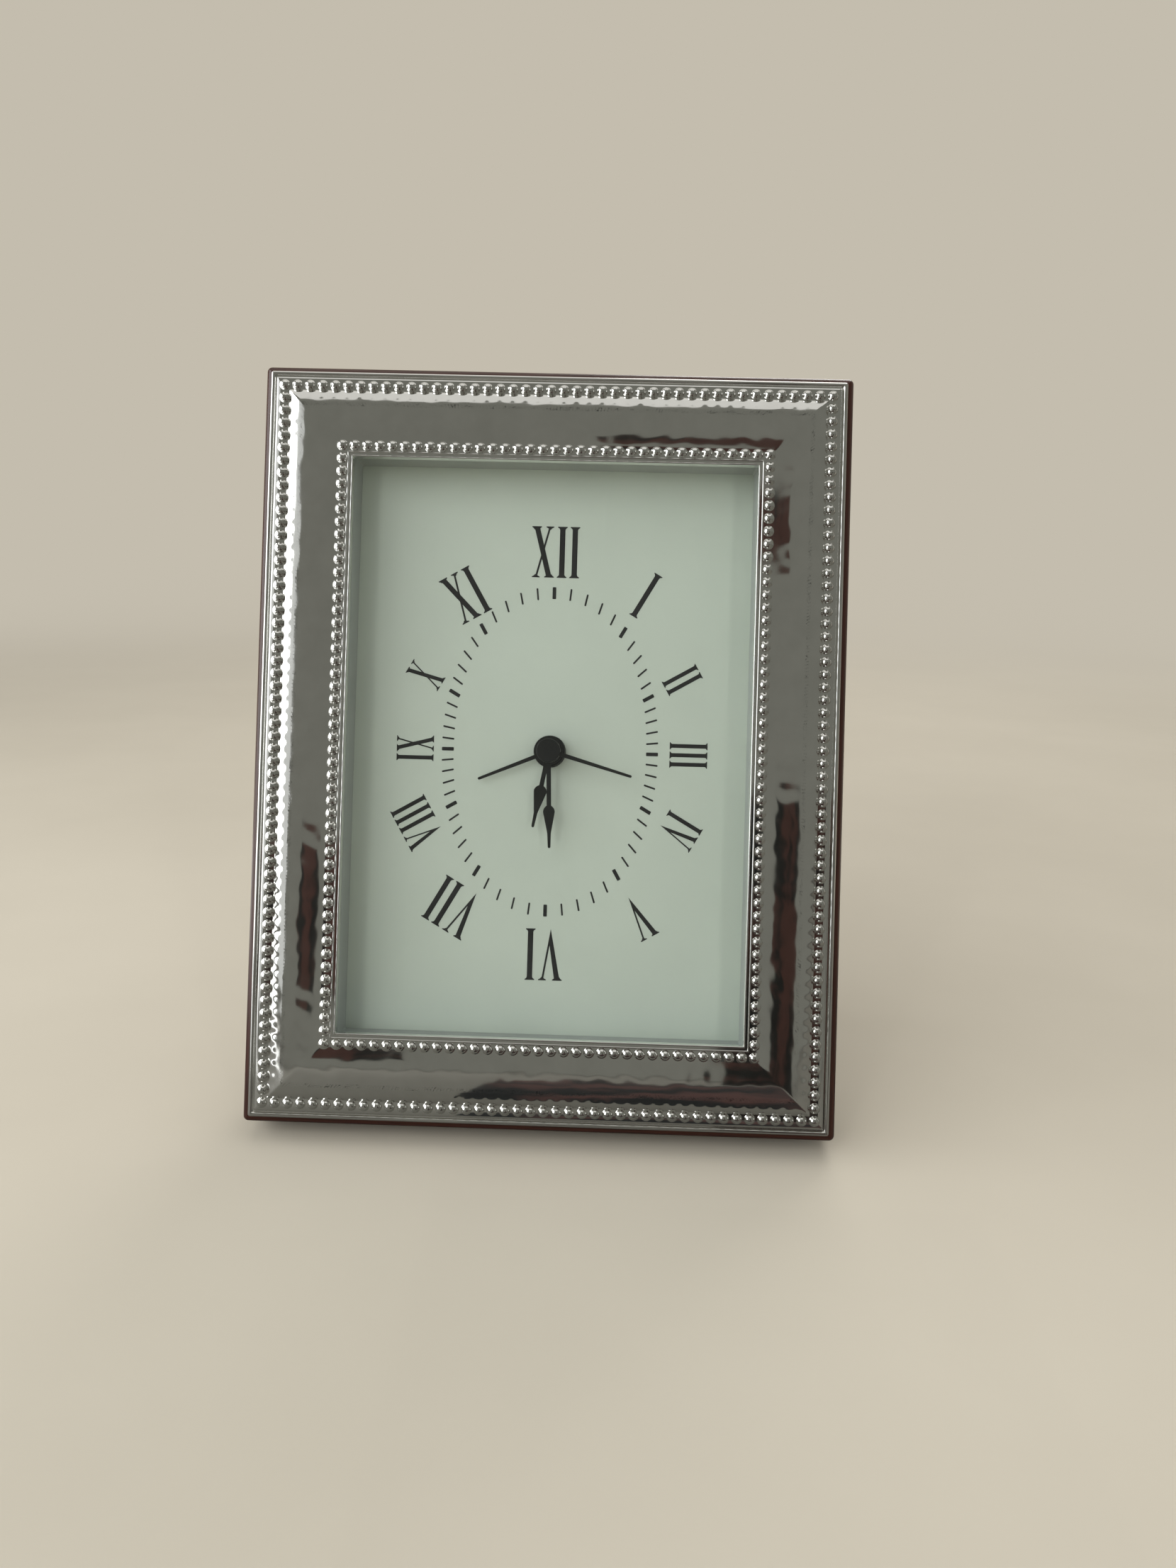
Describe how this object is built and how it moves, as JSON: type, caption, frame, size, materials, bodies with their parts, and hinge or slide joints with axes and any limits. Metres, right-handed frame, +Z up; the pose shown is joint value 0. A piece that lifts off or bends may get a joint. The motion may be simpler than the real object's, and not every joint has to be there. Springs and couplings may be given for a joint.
{
  "type": "photo frame clock",
  "caption": "Table alarm clock built as a photo frame: beaded silver face on dark wood, white dial with roman numerals behind glass, easel strut behind.",
  "frame": {"origin": "on the floor, under the middle of the bounding box", "axes": "+Z up, the clock faces -Y and leans back towards +Y on its open strut, +X is to the right as seen from the front"},
  "size_m": [0.13, 0.087, 0.1663],
  "materials": {
    "polished_silver": "polished silver sheet, pressed",
    "dark_lacquered_wood": "dark mahogany lacquer",
    "clear_glass": "clear float glass",
    "white_card": "white board",
    "dial_paper": "smooth off-white printed card",
    "grey_board": "grey pulp board",
    "brown_panel": "dark stained hardboard",
    "brass": "satin brass",
    "steel": "bright steel",
    "black_plastic": "fine matte black moulding",
    "white_plastic": "natural acetal",
    "magnet": "plastic-bonded magnet",
    "copper": "enamelled copper wire",
    "circuit": "green laminate",
    "black_metal": "satin black lacquered sheet",
    "cell_jacket": "plain dark jacket",
    "contact_metal": "nickel-plated spring sheet",
    "red_plastic": "red moulding"
  },
  "bodies": {
    "frame": {"silver_facing": "polished_silver", "wood_frame": "dark_lacquered_wood", "glass_pane": "clear_glass", "spacer_frame": "white_card", "dial_card": "dial_paper", "dial_board": "grey_board", "packing_frame": "grey_board", "back_panel": "brown_panel", "turn_button_screws": "brass", "movement_front_case": "black_plastic", "movement_rear_case": "black_plastic", "movement_screws": "steel", "stator": "steel", "coil": "copper", "circuit_board": "circuit", "sounder": "black_plastic", "battery": "cell_jacket", "positive_contact": "contact_metal", "negative_contact": "contact_metal", "hinge_leaf_panel": "brass", "hinge_pin": "steel", "hinge_screws_panel": "brass"},
    "strut": {"easel_strut": "dark_lacquered_wood", "hinge_leaf_strut": "brass", "hinge_screws_strut": "brass"},
    "second_train": {"second_wheel": "white_plastic", "second_hand": "black_metal"},
    "minute_train": {"minute_wheel": "white_plastic", "minute_hand": "black_metal"},
    "hour_train": {"hour_wheel": "white_plastic", "hour_hand": "black_metal"},
    "alarm_train": {"alarm_wheel": "white_plastic", "alarm_hand": "black_metal"},
    "third_train": {"third_wheel": "white_plastic"},
    "intermediate_train": {"intermediate_wheel": "white_plastic"},
    "rotor_train": {"rotor": "magnet"},
    "motion_train": {"motion_wheel": "white_plastic"},
    "time_setting": {"time_setting_arbor": "white_plastic", "time_setting_knob": "black_plastic"},
    "alarm_setting": {"alarm_setting_arbor": "white_plastic", "alarm_setting_knob": "black_plastic"},
    "alarm_slide_body": {"alarm_slide": "red_plastic"},
    "button_1": {"turn_button_1": "brass"},
    "button_2": {"turn_button_2": "brass"},
    "button_3": {"turn_button_3": "brass"},
    "button_4": {"turn_button_4": "brass"}
  },
  "joints": [
    {"name": "strut_fold", "type": "hinge", "parent": "frame", "child": "strut", "pos_m": [0, 0.00957, 0.12347], "axis": [1, 0, 0], "range_deg": [-28, 0]},
    {"name": "second_turn", "type": "hinge", "parent": "frame", "child": "second_train", "pos_m": [0, -0.01338, 0.08354], "axis": [0, 0.9703, -0.2419], "continuous": true},
    {"name": "minute_turn", "type": "hinge", "parent": "frame", "child": "minute_train", "pos_m": [0, -0.01338, 0.08354], "axis": [0, 0.9703, -0.2419], "continuous": true},
    {"name": "hour_turn", "type": "hinge", "parent": "frame", "child": "hour_train", "pos_m": [0, -0.01338, 0.08354], "axis": [0, 0.9703, -0.2419], "continuous": true},
    {"name": "third_turn", "type": "hinge", "parent": "frame", "child": "third_train", "pos_m": [-0.0051, -0.01124, 0.09211], "axis": [0, 0.9703, -0.2419], "continuous": true},
    {"name": "intermediate_turn", "type": "hinge", "parent": "frame", "child": "intermediate_train", "pos_m": [0.0045, -0.01149, 0.0911], "axis": [0, 0.9703, -0.2419], "continuous": true},
    {"name": "rotor_turn", "type": "hinge", "parent": "frame", "child": "rotor_train", "pos_m": [0.008, -0.01002, 0.09698], "axis": [0, 0.9703, -0.2419], "continuous": true},
    {"name": "motion_turn", "type": "hinge", "parent": "frame", "child": "motion_train", "pos_m": [0.00779, -0.01229, 0.0879], "axis": [0, 0.9703, -0.2419], "continuous": true},
    {"name": "time_setting_turn", "type": "hinge", "parent": "frame", "child": "time_setting", "pos_m": [0.01448, -0.01375, 0.08206], "axis": [0, 0.9703, -0.2419], "continuous": true},
    {"name": "alarm_setting_turn", "type": "hinge", "parent": "frame", "child": "alarm_setting", "pos_m": [-0.01074, -0.01374, 0.08207], "axis": [0, 0.9703, -0.2419], "continuous": true},
    {"name": "alarm_turn", "type": "hinge", "parent": "frame", "child": "alarm_train", "pos_m": [0, -0.01338, 0.08354], "axis": [0, 0.9703, -0.2419], "continuous": true},
    {"name": "alarm_slide_move", "type": "slide", "parent": "frame", "child": "alarm_slide_body", "axis": [0, 0.2419, 0.9703], "range_m": [0, 0.003]},
    {"name": "button_1_turn", "type": "hinge", "parent": "frame", "child": "button_1", "pos_m": [0.05625, 0.00745, 0.12575], "axis": [0, 0.9703, -0.2419], "range_deg": [0, 90]},
    {"name": "button_2_turn", "type": "hinge", "parent": "frame", "child": "button_2", "pos_m": [0.05625, -0.0148, 0.03648], "axis": [0, -0.9703, 0.2419], "range_deg": [0, 90]},
    {"name": "button_3_turn", "type": "hinge", "parent": "frame", "child": "button_3", "pos_m": [-0.05625, 0.00745, 0.12575], "axis": [0, -0.9703, 0.2419], "range_deg": [0, 90]},
    {"name": "button_4_turn", "type": "hinge", "parent": "frame", "child": "button_4", "pos_m": [-0.05625, -0.0148, 0.03648], "axis": [0, 0.9703, -0.2419], "range_deg": [0, 90]}
  ],
  "couplings": [
    {"joint": "minute_turn", "follows": "second_turn", "ratio": 0.016667},
    {"joint": "hour_turn", "follows": "second_turn", "ratio": 0.0013889},
    {"joint": "third_turn", "follows": "second_turn", "ratio": -0.13333},
    {"joint": "intermediate_turn", "follows": "second_turn", "ratio": -5},
    {"joint": "rotor_turn", "follows": "second_turn", "ratio": 30},
    {"joint": "motion_turn", "follows": "second_turn", "ratio": -0.0055556},
    {"joint": "time_setting_turn", "follows": "second_turn", "ratio": 0.016667},
    {"joint": "alarm_turn", "follows": "alarm_setting_turn", "ratio": -0.40909}
  ]
}
